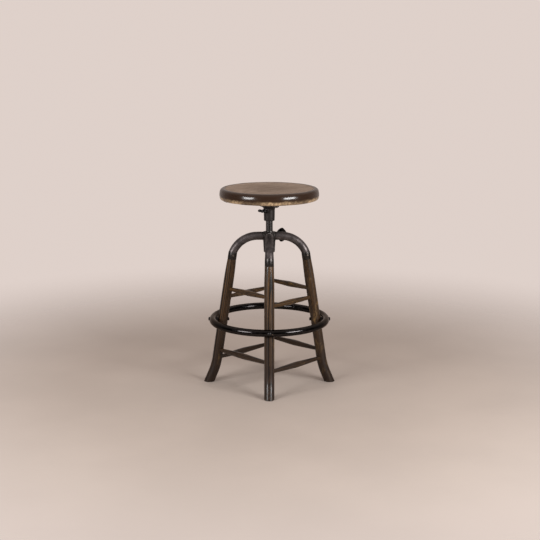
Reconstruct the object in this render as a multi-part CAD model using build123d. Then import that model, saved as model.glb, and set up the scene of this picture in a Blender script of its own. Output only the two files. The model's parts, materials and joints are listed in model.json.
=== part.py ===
from build123d import *
from build123d.topology import SkipClean
import math
import os

# Sizes are in millimetres and angles in degrees. The origin is on the floor under the
# middle of the seat, +Z is up, and the front leg stands towards -Y.

# Fits
fixed_clearance = 0.05
running_clearance = 0.05
cut_overrun = 6.0

# Hub casting: a sleeve with four arms that curve down into the legs
arm_crown_height = 552.4
arm_diameter = 29.5
arm_reach = 41.7
arm_bend_radius = 95.1
arm_bend_angle = 65.4
arm_knee_radius = 28.0
hub_top_rise = 0.6
hub_top_radius = 22.5
hub_waist_radius = 22.0
hub_foot_radius = 19.7
hub_height = 74.2
hub_foot_round = 3.0
hub_top_chamfer = 1.5
spigot_diameter = 16.0
spigot_length = 50.0

# Legs
leg_splay = 8.62
leg_top_diameter = 30.8
leg_diameter = 35.5
leg_swell_length = 82.0
foot_bend_height = 92.0
foot_bend_radius = 240.0
foot_kick = 14.1
foot_edge_chamfer = 1.2

# Ferrules and their pins
ferrule_diameter = 31.2
ferrule_wall = 1.6
ferrule_height = 22.0
pin_diameter = 4.0
pin_from_top = 11.0
pin_past_axis = 5.0

# Rungs: one pair of levels above the foot ring and one below it
upper_rung_height = 345.5
lower_rung_height = 119.4
rung_level_drop = 30.3
rung_tenon_diameter = 13.4
rung_shoulder_stand = 1.8
upper_rung_middle_diameter = 20.3
lower_rung_middle_diameter = 21.6
rung_middle_radius = 300.0
rung_spigot_wall = 1.5
socket_bottom_gap = 0.3

# Foot ring with its spacers, bolts, washers and nuts
ring_height = 233.3
ring_gap = 5.96
ring_bar_diameter = 25.0
spacer_diameter = 15.0
bolt_diameter = 6.0
bolt_hole_clearance = 0.2
bolt_head_diameter = 13.4
bolt_head_seat_depth = 2.0
bolt_head_rim = 1.6
bolt_head_dome = 2.6
bolt_tail = 1.5
nut_seat_diameter = 15.0
nut_seat_depth = 2.6
washer_diameter = 13.6
washer_thickness = 1.2
nut_across_flats = 10.8
nut_thickness = 5.2

# Post with its stop collar
post_diameter = 25.0
post_chamfer = 1.5
post_tail = 8.0
lift_travel = 130.0
stop_margin = 0.5
stop_collar_diameter = 35.0
stop_collar_height = 14.0
stop_collar_chamfer = 1.2
stop_pin_diameter = 5.0
stop_pin_inset = 0.6

# Seat casting: a socket under a cross of four arms
seat_turn = 9.5
seat_gap = 39.1
socket_mouth_diameter = 38.4
socket_diameter = 39.5
socket_taper_length = 34.0
socket_mouth_chamfer = 1.6
socket_height = 77.4
socket_depth = 60.0
flare_start = 38.4
flare_radius = 14.0
crown_draft = 6.0
crown_plate = 6.0
cross_arm_inset = 13.0
cross_arm_width = 16.0
cross_arm_depth = 24.0
cross_arm_pad_length = 26.0
cross_arm_tip_round = 7.0
cross_arm_tip_round_share = 0.45
thrust_washer_thickness = 3.0
thrust_washer_inset = 0.5

# Seat board
seat_radius = 175.0
seat_thickness = 38.2
seat_dish_depth = 8.0
seat_dish_rise = 1.23
seat_top_round = 11.6
seat_bottom_round = 8.0

# Seat screws
seat_screw_from_tip = 11.0
seat_screw_diameter = 4.6
seat_screw_length = 27.0
seat_screw_head_diameter = 9.4
seat_screw_head_height = 3.0
seat_screw_head_round = 2.2
seat_screw_slot_width = 1.2
seat_screw_slot_depth = 1.3

# Wing screw that holds the seat casting on the post
wing_screw_azimuth = 225.0
wing_screw_height = 39.0
wing_screw_diameter = 8.0
wing_screw_tip_diameter = 5.6
wing_screw_tip_length = 5.0
wing_tip_gap = 0.4
post_groove_depth = 1.2
post_groove_width = 9.0
wing_boss_diameter = 17.0
wing_boss_reach = 28.0
wing_head_gap = 1.5
wing_head_diameter = 12.0
wing_head_length = 17.0
wing_span = 41.0
wing_width = 14.0
wing_thickness = 7.0
wing_edge_round = 2.0
wing_edge_round_share = 0.84

# Clamp screw with its star knob, on the hub
clamp_azimuth = 45.0
clamp_drop = 18.8
clamp_boss_diameter = 21.0
clamp_boss_reach = 34.0
clamp_screw_diameter = 10.0
pad_clearance = 0.5
pad_thickness = 3.0
pad_gap = 0.3
knob_reach = 46.0
knob_neck_length = 10.0
knob_neck_diameter = 19.0
knob_thickness = 14.0
knob_radius = 25.2
knob_valley_radius = 17.5
knob_scallop_radius = 18.0
knob_lobe_round = 4.0
knob_edge_round = 2.5
knob_screw_depth = 15.0
knob_lobes = 4

# Sizes and heights that follow from those above
rung_stop_from_leg_axis = spigot_diameter / 2 + rung_spigot_wall
cross_arm_length = seat_radius - cross_arm_inset
pad_diameter = clamp_screw_diameter - 2 * pad_clearance
hub_top_height = arm_crown_height + hub_top_rise
hub_foot_height = hub_top_height - hub_height
arm_axis_height = arm_crown_height - arm_diameter / 2
clamp_height = arm_crown_height - clamp_drop
socket_mouth_height = hub_top_height + seat_gap
seat_underside_height = socket_mouth_height + socket_height
cross_arm_foot_height = seat_underside_height - crown_plate
post_top_height = socket_mouth_height + socket_depth - thrust_washer_thickness - running_clearance
collar_top_height = hub_foot_height - lift_travel - stop_margin
collar_foot_height = collar_top_height - stop_collar_height
post_foot_height = collar_foot_height - post_tail
wing_axis_height = socket_mouth_height + wing_screw_height

# A cylinder or box stands on its place or hangs from it
standing = (Align.CENTER, Align.CENTER, Align.MIN)
hanging = (Align.CENTER, Align.CENTER, Align.MAX)

# The legs stand at these azimuths, and each side between two legs takes its rungs
leg_azimuths = {"front": -90.0, "right": 0.0, "back": 90.0, "left": 180.0}
quarter_turn = 90.0
low_sides = ("front_right", "back_left")
side_azimuths = {"front_right": -45.0, "back_right": 45.0, "back_left": 135.0, "front_left": -135.0}


def sind(angle):
    return math.sin(math.radians(angle))


def cosd(angle):
    return math.cos(math.radians(angle))


class RadialBar:
    """A round bar drawn in the radial plane, X outwards and Z up.

    The heading is the angle below the horizontal, so a bar that goes straight down has 90.
    """

    def __init__(self, diameter, start, heading):
        self.diameter = diameter
        self.x, self.z = start
        self.heading = heading
        self.solids = []

    def straight(self, length):
        """Go on in a straight line."""
        face = self._section()
        self.solids.append(extrude(face, amount=length))
        self.x += length * cosd(self.heading)
        self.z -= length * sind(self.heading)
        return self

    def bend(self, radius, turn):
        """Turn downwards by a positive angle, or back outwards by a negative one."""
        side = 1 if turn > 0 else -1
        centre_x = self.x - side * radius * sind(self.heading)
        centre_z = self.z - side * radius * cosd(self.heading)
        axis = Axis((centre_x, 0, centre_z), (0, side, 0))
        self.solids.append(revolve(self._section(), axis, revolution_arc=abs(turn)))
        self.heading += turn
        self.x = centre_x + side * radius * sind(self.heading)
        self.z = centre_z + side * radius * cosd(self.heading)
        return self

    def solid(self):
        """The whole bar as one solid."""
        whole = self.solids[0]
        for piece in self.solids[1:]:
            whole = whole + piece
        return whole

    def _section(self):
        along = (cosd(self.heading), 0, -sind(self.heading))
        plane = Plane(origin=(self.x, 0, self.z), x_dir=(0, 1, 0), z_dir=along)
        return plane * Circle(self.diameter / 2)


def radial_plane(azimuth, height, distance=0.0):
    """A plane that faces outwards from the vertical axis."""
    outwards = (cosd(azimuth), sind(azimuth), 0)
    origin = (distance * outwards[0], distance * outwards[1], height)
    return Plane(origin=origin, x_dir=(0, 0, 1), z_dir=outwards)


def radial_rod(diameter, azimuth, height, near, far):
    """A straight rod that points outwards, between two distances from the vertical axis."""
    plane = radial_plane(azimuth, height, near)
    return extrude(plane * Circle(diameter / 2), amount=far - near)


def turned(outline):
    """A solid turned about the vertical axis from half of its section, in X and Z."""
    return revolve(Plane.XZ * make_face(outline), Axis.Z)


def around(make_one):
    """One copy of a solid for each leg."""
    return Compound([(Rot(0, 0, azimuth) * make_one()).solid() for azimuth in leg_azimuths.values()])


def arm_bar():
    """One arm of the hub, up to the top of its leg."""
    bar = RadialBar(arm_diameter, (post_diameter / 2, arm_axis_height), 0)
    bar.straight(arm_reach - post_diameter / 2)
    bar.bend(arm_bend_radius, arm_bend_angle)
    bar.bend(arm_knee_radius, quarter_turn - leg_splay - arm_bend_angle)
    return bar


arm_end = arm_bar()
leg_top = (arm_end.x, arm_end.z)


def leg_location():
    """The top of a leg in the radial plane, with local -Z along the leg."""
    return Location((leg_top[0], 0, leg_top[1])) * Rot(0, -leg_splay, 0)


def leg_straight_length():
    """The turned part of a leg, from its top to the start of the foot's bend."""
    return (leg_top[1] - foot_bend_height) / cosd(leg_splay)


def leg_axis_radius(height):
    """How far a leg's axis stands from the vertical axis at a height."""
    if height >= foot_bend_height:
        return leg_top[0] + (leg_top[1] - height) * math.tan(math.radians(leg_splay))
    start_x = leg_axis_radius(foot_bend_height)
    centre_x = start_x + foot_bend_radius * cosd(leg_splay)
    centre_z = foot_bend_height + foot_bend_radius * sind(leg_splay)
    angle = math.degrees(math.asin((centre_z - height) / foot_bend_radius))
    return centre_x - foot_bend_radius * cosd(angle)


def hub_spider():
    """The sleeve with its four arms, the spigots in the legs and the boss of the clamp."""
    waist = arm_axis_height - arm_diameter / 2
    with BuildLine() as outline:
        Polyline(
            (0, hub_foot_height),
            (hub_foot_radius, hub_foot_height),
            (hub_waist_radius, waist),
            (hub_top_radius, hub_top_height),
            (0, hub_top_height),
            close=True,
        )
    sleeve = turned(outline.line)
    sleeve = fillet(sleeve.edges().group_by(Axis.Z)[0], hub_foot_round)
    sleeve = chamfer(sleeve.edges().group_by(Axis.Z)[-1], hub_top_chamfer)
    bar = arm_bar()
    bar.diameter = spigot_diameter
    bar.straight(spigot_length)
    arm = bar.solid()
    arm = arm - ferrule_pin_rod(fixed_clearance)
    for azimuth in leg_azimuths.values():
        sleeve = sleeve + Rot(0, 0, azimuth) * arm
    near = post_diameter / 2
    sleeve = sleeve + radial_rod(clamp_boss_diameter, clamp_azimuth, clamp_height, near, clamp_boss_reach)
    bore_height = hub_height + 2 * cut_overrun
    bore = Cylinder(post_diameter / 2 + running_clearance, bore_height)
    sleeve = sleeve - Pos(0, 0, (hub_top_height + hub_foot_height) / 2) * bore
    hole_diameter = clamp_screw_diameter + 2 * running_clearance
    far = clamp_boss_reach + cut_overrun
    return sleeve - radial_rod(hole_diameter, clamp_azimuth, clamp_height, 0, far)


def ferrule_pin_rod(extra_radius=0.0):
    """The pin, or its hole, that goes in from the inner side of a ferrule."""
    inner_end = ferrule_diameter / 2
    plane = leg_location() * Location((-inner_end, 0, -pin_from_top)) * Rot(0, 90, 0)
    radius = pin_diameter / 2 + extra_radius
    length = inner_end + pin_past_axis + extra_radius
    return plane * Cylinder(radius, length, align=standing)


def ferrule():
    """The thin metal tube round the top of a leg."""
    radius = ferrule_diameter / 2
    tube = Cylinder(radius, ferrule_height, align=hanging)
    tube = tube - Cylinder(radius - ferrule_wall, ferrule_height, align=hanging)
    return leg_location() * tube - ferrule_pin_rod(fixed_clearance)


def leg_turning():
    """The straight part of a leg, turned on a lathe, with its top at the origin."""
    tongue = ferrule_diameter / 2 - ferrule_wall - fixed_clearance
    foot = -leg_straight_length()
    swell_end = -(ferrule_height + leg_swell_length)
    with BuildLine() as outline:
        Polyline((leg_diameter / 2, foot), (0, foot), (0, 0), (tongue, 0), (tongue, -ferrule_height))
        Line((tongue, -ferrule_height), (leg_top_diameter / 2, -ferrule_height))
        TangentArc((leg_diameter / 2, swell_end), (leg_top_diameter / 2, -ferrule_height), tangent=(0, 1))
        Line((leg_diameter / 2, swell_end), (leg_diameter / 2, foot))
    return revolve(Plane.XZ * make_face(outline.line), Axis.Z)


def leg_foot():
    """The foot, which bends outwards and is cut level with the floor."""
    start = (leg_axis_radius(foot_bend_height), foot_bend_height)
    bar = RadialBar(leg_diameter, start, quarter_turn - leg_splay)
    bar.bend(foot_bend_radius, -foot_kick)
    bar.straight(bar.z / sind(bar.heading) + leg_diameter)
    foot = split(bar.solid(), Plane.XY, keep=Keep.TOP)
    return chamfer(foot.edges().group_by(Axis.Z)[0], foot_edge_chamfer)


def rung_socket(height, towards):
    """The blind hole for a rung to the next leg, anticlockwise for +1 and clockwise for -1."""
    radius = rung_tenon_diameter / 2 + fixed_clearance
    start = rung_stop_from_leg_axis - socket_bottom_gap
    heading = 180.0 - towards * quarter_turn / 2
    plane = Plane(
        origin=(leg_axis_radius(height) + start * cosd(heading), start * sind(heading), height),
        x_dir=(0, 0, 1),
        z_dir=(cosd(heading), sind(heading), 0),
    )
    return extrude(plane * Circle(radius), amount=leg_diameter)


def ring_bolt_rod(diameter, near, far):
    """A rod on the axis of a ring bolt, in the radial plane."""
    return radial_rod(diameter, 0, ring_height, near, far)


def nut_seat_radius():
    """How far the flat seat of a ring bolt's nut stands from the vertical axis."""
    inner_face = leg_axis_radius(ring_height) - leg_diameter / 2 / cosd(leg_splay)
    return inner_face + nut_seat_depth


def leg(high_towards):
    """A whole leg at azimuth 0, with the higher rung of each pair on the given side."""
    body = leg_location() * leg_turning() + leg_foot()
    spigot_depth = spigot_length + socket_bottom_gap
    spigot_hole = Cylinder(spigot_diameter / 2 + fixed_clearance, spigot_depth, align=hanging)
    body = body - leg_location() * spigot_hole - ferrule_pin_rod(fixed_clearance)
    for height in (upper_rung_height, lower_rung_height):
        body = body - rung_socket(height, high_towards)
        body = body - rung_socket(height - rung_level_drop, -high_towards)
    hole = bolt_diameter + 2 * bolt_hole_clearance
    seat = nut_seat_radius()
    body = body - ring_bolt_rod(hole, seat - leg_diameter, seat + 2 * leg_diameter)
    return body - ring_bolt_rod(nut_seat_diameter, seat - leg_diameter, seat)


def rung(height, middle_diameter, azimuth):
    """A rung across one side, thickest in the middle, with its ends in the sockets."""
    leg_radius = leg_axis_radius(height)
    half = leg_radius * sind(quarter_turn / 2)
    end = half - rung_stop_from_leg_axis
    shoulder = half - leg_diameter / 2 - rung_shoulder_stand
    tenon = rung_tenon_diameter / 2
    middle = middle_diameter / 2
    left_half = [(-end, 0), (-end, tenon), (-shoulder, tenon)]
    right_half = [(shoulder, tenon), (end, tenon), (end, 0)]
    face = make_face(Polyline(*left_half, (0, middle), *right_half, close=True))
    face = fillet(face.vertices().sort_by(Axis.Y)[-1], rung_middle_radius)
    bar = revolve(face, Axis.X)
    distance = leg_radius * cosd(quarter_turn / 2)
    middle_of_side = Pos(distance * cosd(azimuth), distance * sind(azimuth), height)
    return middle_of_side * Rot(0, 0, azimuth + quarter_turn) * bar


def ring_centre_radius():
    """The radius of the circle that the middle of the foot ring's bar follows, outside the legs."""
    outer_face = leg_axis_radius(ring_height) + leg_diameter / 2 / cosd(leg_splay)
    return outer_face + ring_gap + ring_bar_diameter / 2


def ring_bar():
    """The round bar of the foot ring, without its holes. Its seams lie away from the bolts."""
    seam_end = quarter_turn + 360.0
    bar = Torus(ring_centre_radius(), ring_bar_diameter / 2, quarter_turn, seam_end)
    return Pos(0, 0, ring_height) * Rot(0, 0, quarter_turn / 2) * bar


def bolt_head_seat():
    """How far the flat seat of a ring bolt's head stands from the vertical axis."""
    return ring_centre_radius() + ring_bar_diameter / 2 - bolt_head_seat_depth


def foot_ring():
    """The foot ring with a hole right through for each bolt and a flat seat for its head."""
    ring = ring_bar()
    hole = bolt_diameter + 2 * bolt_hole_clearance
    seat = bolt_head_diameter + 2 * bolt_hole_clearance
    near = ring_centre_radius() - ring_bar_diameter
    far = ring_centre_radius() + ring_bar_diameter
    with SkipClean():
        for azimuth in leg_azimuths.values():
            ring = ring - radial_rod(hole, azimuth, ring_height, near, far)
            ring = ring - radial_rod(seat, azimuth, ring_height, bolt_head_seat(), far)
    return ring


def ring_spacer():
    """The short tube between a leg and the ring, shaped to both."""
    hole = bolt_diameter + 2 * bolt_hole_clearance
    near = leg_axis_radius(ring_height)
    body = ring_bolt_rod(spacer_diameter, near, ring_centre_radius())
    body = body - leg_location() * leg_turning() - ring_bar()
    body = body - ring_bolt_rod(hole, near, ring_centre_radius())
    return body.solids().sort_by(SortBy.VOLUME)[-1]


def ring_bolt():
    """A bolt with a low domed head."""
    rim = bolt_head_seat_depth + bolt_head_rim
    crown = rim + bolt_head_dome
    half = bolt_head_diameter / 2
    dome_radius = (half * half + bolt_head_dome * bolt_head_dome) / (2 * bolt_head_dome)
    quarter = half / 2
    quarter_height = crown - dome_radius + math.sqrt(dome_radius * dome_radius - quarter * quarter)
    with BuildLine() as outline:
        Polyline((0, crown), (0, 0), (half, 0), (half, rim))
        ThreePointArc((half, rim), (quarter, quarter_height), (0, crown))
    head = radial_plane(0, ring_height, bolt_head_seat()) * turned(outline.line)
    tail = nut_seat_radius() - washer_thickness - nut_thickness - bolt_tail
    shank = ring_bolt_rod(bolt_diameter, tail, bolt_head_seat())
    shank = chamfer(shank.edges().group_by(Axis.X)[0], bolt_tail / 2)
    return head + shank


def ring_washer():
    """The washer on the inner face of a leg."""
    face = nut_seat_radius()
    hole = bolt_diameter + 2 * bolt_hole_clearance
    disc = ring_bolt_rod(washer_diameter, face - washer_thickness, face)
    return disc - ring_bolt_rod(hole, face - washer_thickness, face)


def ring_nut():
    """The hexagon nut of a ring bolt."""
    face = nut_seat_radius() - washer_thickness
    plane = radial_plane(0, ring_height, face - nut_thickness)
    nut = extrude(plane * RegularPolygon(nut_across_flats / 2, 6, major_radius=False), amount=nut_thickness)
    return nut - ring_bolt_rod(bolt_diameter + 2 * fixed_clearance, face - nut_thickness, face)


def seat_post():
    """The steel post, with a groove for the tip of the wing screw and a hole for the stop pin."""
    radius = post_diameter / 2
    length = post_top_height - post_foot_height
    post = Pos(0, 0, post_foot_height) * Cylinder(radius, length, align=standing)
    post = chamfer(post.edges().filter_by(GeomType.CIRCLE), post_chamfer)
    groove = Cylinder(radius + cut_overrun, post_groove_width)
    groove = groove - Cylinder(radius - post_groove_depth, post_groove_width)
    return post - Pos(0, 0, wing_axis_height) * groove - stop_pin_rod(fixed_clearance)


def stop_pin_rod(extra_radius=0.0):
    """The pin across the post, or its hole."""
    length = stop_collar_diameter - 2 * stop_pin_inset + 2 * extra_radius
    height = (collar_top_height + collar_foot_height) / 2
    return Pos(0, 0, height) * Rot(0, 90, 0) * Cylinder(stop_pin_diameter / 2 + extra_radius, length)


def stop_collar():
    """The collar that meets the hub when the post is fully raised."""
    radius = stop_collar_diameter / 2
    collar = Cylinder(radius, stop_collar_height, align=standing)
    collar = chamfer(collar.edges().filter_by(GeomType.CIRCLE), stop_collar_chamfer)
    bore = Cylinder(post_diameter / 2 + fixed_clearance, stop_collar_height, align=standing)
    pin_hole = Rot(0, 90, 0) * Cylinder(stop_pin_diameter / 2 + fixed_clearance, 2 * stop_collar_diameter)
    return Pos(0, 0, collar_foot_height) * (collar - bore - Pos(0, 0, stop_collar_height / 2) * pin_hole)


def seat_bracket():
    """The socket with its flare and the cross that carries the seat board."""
    mouth = socket_mouth_height
    mouth_radius = socket_mouth_diameter / 2
    radius = socket_diameter / 2
    flare_foot = mouth + flare_start
    flare_top = flare_foot + flare_radius
    crown_radius = radius + flare_radius
    middle = flare_radius * sind(quarter_turn / 2)
    with BuildLine() as outline:
        Polyline((0, seat_underside_height), (0, mouth), (mouth_radius - socket_mouth_chamfer, mouth))
        Polyline(
            (mouth_radius - socket_mouth_chamfer, mouth),
            (mouth_radius, mouth + socket_mouth_chamfer),
            (radius, mouth + socket_taper_length),
            (radius, flare_foot),
        )
        ThreePointArc(
            (radius, flare_foot), (crown_radius - middle, flare_foot + middle), (crown_radius, flare_top)
        )
        Polyline(
            (crown_radius, flare_top),
            (crown_radius + crown_draft, cross_arm_foot_height),
            (crown_radius + crown_draft, seat_underside_height),
            (0, seat_underside_height),
        )
    body = turned(outline.line)
    for turn in leg_azimuths.values():
        body = body + Rot(0, 0, turn) * cross_arm()
    azimuth = wing_screw_azimuth
    near = post_diameter / 2
    far = wing_boss_reach
    body = body + radial_rod(wing_boss_diameter, azimuth, wing_axis_height, near, far)
    bore = Cylinder(post_diameter / 2 + running_clearance, socket_depth, align=standing)
    body = body - Pos(0, 0, mouth) * bore
    hole_diameter = wing_screw_diameter + 2 * running_clearance
    body = body - radial_rod(hole_diameter, azimuth, wing_axis_height, 0, far + cut_overrun)
    for turn in leg_azimuths.values():
        body = body - Rot(0, 0, turn) * seat_screw_hole()
    return Rot(0, 0, seat_turn) * body


def cross_arm():
    """One arm of the cross, deep at the socket and thin at its tip."""
    top = seat_underside_height
    pad_start = cross_arm_length - cross_arm_pad_length
    outline = Polyline(
        (0, top),
        (cross_arm_length, top),
        (cross_arm_length, top - crown_plate),
        (pad_start, top - crown_plate),
        (socket_diameter / 2, top - cross_arm_depth),
        (0, top - cross_arm_depth),
        close=True,
    )
    arm = extrude(Plane.XZ * make_face(outline), amount=cross_arm_width / 2, both=True)
    tip = arm.edges().filter_by(Axis.Z).group_by(Axis.X)[-1]
    return fillet(tip, min(cross_arm_tip_round, cross_arm_tip_round_share * cross_arm_width))


def seat_screw_place():
    """The seat of a screw's head, under the tip of a cross arm."""
    return Pos(cross_arm_length - seat_screw_from_tip, 0, cross_arm_foot_height)


def seat_screw_hole():
    """The hole for a seat screw, through the tip of a cross arm and into the board."""
    radius = seat_screw_diameter / 2 + fixed_clearance
    length = seat_screw_length + socket_bottom_gap
    return seat_screw_place() * Cylinder(radius, length, align=standing)


def seat_screw():
    """A round-headed wood screw with a slot."""
    head = Cylinder(seat_screw_head_diameter / 2, seat_screw_head_height, align=hanging)
    head = fillet(head.edges().group_by(Axis.Z)[0], seat_screw_head_round)
    slot = Box(2 * seat_screw_head_diameter, seat_screw_slot_width, seat_screw_slot_depth, align=standing)
    screw = head - Pos(0, 0, -seat_screw_head_height) * slot
    screw = screw + Cylinder(seat_screw_diameter / 2, seat_screw_length, align=standing)
    return seat_screw_place() * screw


def seat_screws():
    """The four screws that hold the board on the cross."""
    return Rot(0, 0, seat_turn) * around(seat_screw)


def thrust_washer():
    """The disc on top of the post that the socket turns on."""
    top = socket_mouth_height + socket_depth
    radius = post_diameter / 2 - thrust_washer_inset
    return Pos(0, 0, top) * Cylinder(radius, thrust_washer_thickness, align=hanging)


def seat_board():
    """The round seat board, dished on top, with rounded edges and the screws' pilot holes."""
    foot = seat_underside_height
    crest = foot + seat_thickness
    edge = crest + seat_dish_rise
    centre = crest - seat_dish_depth
    middle = seat_radius / 2
    middle_height = centre + (edge - centre) / 4
    with BuildLine() as outline:
        ThreePointArc((0, centre), (middle, middle_height), (seat_radius, edge))
        Polyline((seat_radius, edge), (seat_radius, foot), (0, foot), (0, centre))
    face = make_face(outline.line)
    corners = face.vertices().group_by(Axis.X)[-1].sort_by(Axis.Y)
    face = fillet(corners[0], seat_bottom_round)
    face = fillet(face.vertices().sort_by(Axis.Y)[-1], seat_top_round)
    board = revolve(Plane.XZ * face, Axis.Z)
    for turn in leg_azimuths.values():
        board = board - Rot(0, 0, seat_turn + turn) * seat_screw_hole()
    return board


def wing_screw():
    """The wing screw, with its tip in the post's groove and its wings level."""
    azimuth = wing_screw_azimuth + seat_turn
    height = wing_axis_height
    tip = post_diameter / 2 - post_groove_depth + wing_tip_gap
    head = wing_boss_reach + wing_head_gap
    screw = radial_rod(wing_screw_tip_diameter, azimuth, height, tip, tip + wing_screw_tip_length)
    screw = screw + radial_rod(wing_screw_diameter, azimuth, height, tip + wing_screw_tip_length, head)
    screw = screw + radial_rod(wing_head_diameter, azimuth, height, head, head + wing_head_length)
    middle = head + wing_head_length - wing_width / 2
    plane = Plane(
        origin=(middle * cosd(azimuth), middle * sind(azimuth), height - wing_thickness / 2),
        x_dir=(-sind(azimuth), cosd(azimuth), 0),
        z_dir=(0, 0, 1),
    )
    wings = extrude(plane * Ellipse(wing_span / 2, wing_width / 2), amount=wing_thickness)
    tip_radius = wing_width * wing_width / wing_span / 2
    wings = fillet(wings.edges(), min(wing_edge_round, wing_edge_round_share * tip_radius))
    return screw + wings


def clamp_pad():
    """The soft pad between the clamp screw and the post."""
    near = post_diameter / 2 + pad_gap
    return radial_rod(pad_diameter, clamp_azimuth, clamp_height, near, near + pad_thickness)


def clamp_screw():
    """The plain rod of the clamp screw, from the pad into the knob."""
    near = post_diameter / 2 + pad_gap + pad_thickness
    far = knob_reach + knob_screw_depth
    return radial_rod(clamp_screw_diameter, clamp_azimuth, clamp_height, near, far)


def clamp_knob():
    """The star knob, with a neck towards the hub."""
    valley = knob_valley_radius + knob_scallop_radius
    star = Circle(knob_radius)
    for index in range(knob_lobes):
        angle = (index + 0.5) * 360.0 / knob_lobes
        star = star - Pos(valley * cosd(angle), valley * sind(angle)) * Circle(knob_scallop_radius)
    star = fillet(star.vertices(), knob_lobe_round)
    plane = radial_plane(clamp_azimuth, clamp_height, knob_reach + knob_neck_length)
    knob = extrude(plane * star, amount=knob_thickness)
    knob = fillet(knob.edges().filter_by(Axis.Z, reverse=True), knob_edge_round)
    neck_end = knob_reach + knob_neck_length + knob_edge_round
    knob = knob + radial_rod(knob_neck_diameter, clamp_azimuth, clamp_height, knob_reach, neck_end)
    hole = clamp_screw_diameter + 2 * fixed_clearance
    depth = knob_reach + knob_screw_depth + socket_bottom_gap
    return knob - radial_rod(hole, clamp_azimuth, clamp_height, knob_reach - cut_overrun, depth)


def parts():
    """Every node of the stool by name."""
    nodes = {
        "seat_board": seat_board(),
        "seat_bracket": seat_bracket(),
        "seat_screws": seat_screws(),
        "thrust_washer": thrust_washer(),
        "wing_screw": wing_screw(),
        "seat_post": seat_post(),
        "stop_collar": stop_collar(),
        "stop_pin": stop_pin_rod(),
        "hub_spider": hub_spider(),
        "clamp_knob": clamp_knob(),
        "clamp_screw": clamp_screw(),
        "clamp_pad": clamp_pad(),
        "leg_ferrules": around(ferrule),
        "ferrule_pins": around(ferrule_pin_rod),
        "foot_ring": foot_ring(),
        "ring_spacers": around(ring_spacer),
        "ring_bolts": around(ring_bolt),
        "ring_washers": around(ring_washer),
        "ring_nuts": around(ring_nut),
    }
    for name, azimuth in leg_azimuths.items():
        high_towards = -1 if name in ("front", "back") else 1
        nodes["leg_" + name] = Rot(0, 0, azimuth) * leg(high_towards)
    for side, azimuth in side_azimuths.items():
        drop = rung_level_drop if side in low_sides else 0
        nodes["rung_upper_" + side] = rung(upper_rung_height - drop, upper_rung_middle_diameter, azimuth)
        nodes["rung_lower_" + side] = rung(lower_rung_height - drop, lower_rung_middle_diameter, azimuth)
    return nodes


os.makedirs("parts", exist_ok=True)
for name, shape in parts().items():
    export_step(shape, "parts/" + name + ".step")
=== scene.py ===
"""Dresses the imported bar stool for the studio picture.

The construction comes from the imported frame. This script models the pieces whose form is
softer than their construction, gives every piece its finish, and sets up floor, light and
camera. Lengths are in metres and angles in degrees.
"""

import json
import logging
import math
from collections.abc import Callable
from dataclasses import dataclass, replace
from enum import Enum

import bpy
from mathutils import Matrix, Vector


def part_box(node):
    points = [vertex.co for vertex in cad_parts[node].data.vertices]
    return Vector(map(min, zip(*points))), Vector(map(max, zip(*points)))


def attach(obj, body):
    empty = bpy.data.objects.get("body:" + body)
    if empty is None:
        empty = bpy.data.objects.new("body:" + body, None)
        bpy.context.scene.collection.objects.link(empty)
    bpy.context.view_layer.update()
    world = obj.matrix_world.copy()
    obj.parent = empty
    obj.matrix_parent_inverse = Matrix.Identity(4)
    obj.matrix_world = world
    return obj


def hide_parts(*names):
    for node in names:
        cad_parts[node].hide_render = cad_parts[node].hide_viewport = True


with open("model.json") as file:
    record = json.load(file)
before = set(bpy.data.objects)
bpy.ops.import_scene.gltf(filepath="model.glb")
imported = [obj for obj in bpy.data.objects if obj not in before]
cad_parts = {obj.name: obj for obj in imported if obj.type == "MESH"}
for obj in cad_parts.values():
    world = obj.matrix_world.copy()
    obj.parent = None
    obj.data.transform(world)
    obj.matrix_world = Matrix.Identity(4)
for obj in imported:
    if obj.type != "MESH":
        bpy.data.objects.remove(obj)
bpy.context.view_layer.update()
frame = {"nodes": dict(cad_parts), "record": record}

log = logging.getLogger("bar_stool")

Colour = tuple[float, float, float]
Point = tuple[float, float, float]
Ring = tuple[float, float]
Band = tuple[float, float]
Socket = bpy.types.NodeSocket
Value = float | Socket
StainAndShade = Callable[["NodeBench", Socket], tuple[Socket, Value]]

LEGS = {"front": -90.0, "right": 0.0, "back": 90.0, "left": 180.0}
SIDES = {"front_right": -45.0, "back_right": 45.0, "back_left": 135.0, "front_left": -135.0}
# The varnish left on each leg, and how much of it is worn pale.
LEG_WEAR = {"front": (0.62, 0.30), "right": (0.30, 0.42), "back": (0.45, 0.32), "left": (0.20, 0.30)}
CENTRE = Vector((0.0, 0.0, 0.0))
UPWARDS = Vector((0.0, 0.0, 1.0))


class Body(Enum):
    """The rigid bodies of the frame that new pieces ride on."""

    FRAME = "frame"
    SEAT = "seat"
    WING = "wing"
    CLAMP = "clamp"


class Slot(Enum):
    """The record's material slots that new pieces and shared finishes go by."""

    SEAT_WOOD = "seat_wood"
    CAST_IRON = "cast_iron"
    POST_STEEL = "post_steel"
    STEEL = "steel"
    BRONZE = "bronze"
    BLACK_IRON = "black_iron"
    BLACK_ENAMEL = "black_enamel"


class Pick(Enum):
    """What edit mode selects."""

    FACES = "FACE"
    CORNERS = "VERT"


def sind(angle: float) -> float:
    """The sine of an angle in degrees."""
    return math.sin(math.radians(angle))


def cosd(angle: float) -> float:
    """The cosine of an angle in degrees."""
    return math.cos(math.radians(angle))


def outwards(azimuth: float) -> Vector:
    """The level direction away from the post at an azimuth."""
    return Vector((cosd(azimuth), sind(azimuth), 0.0))


def shade(colour: Colour, share: float) -> Colour:
    """A colour made darker or lighter by a share."""
    return tuple(share * part for part in colour)


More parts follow.
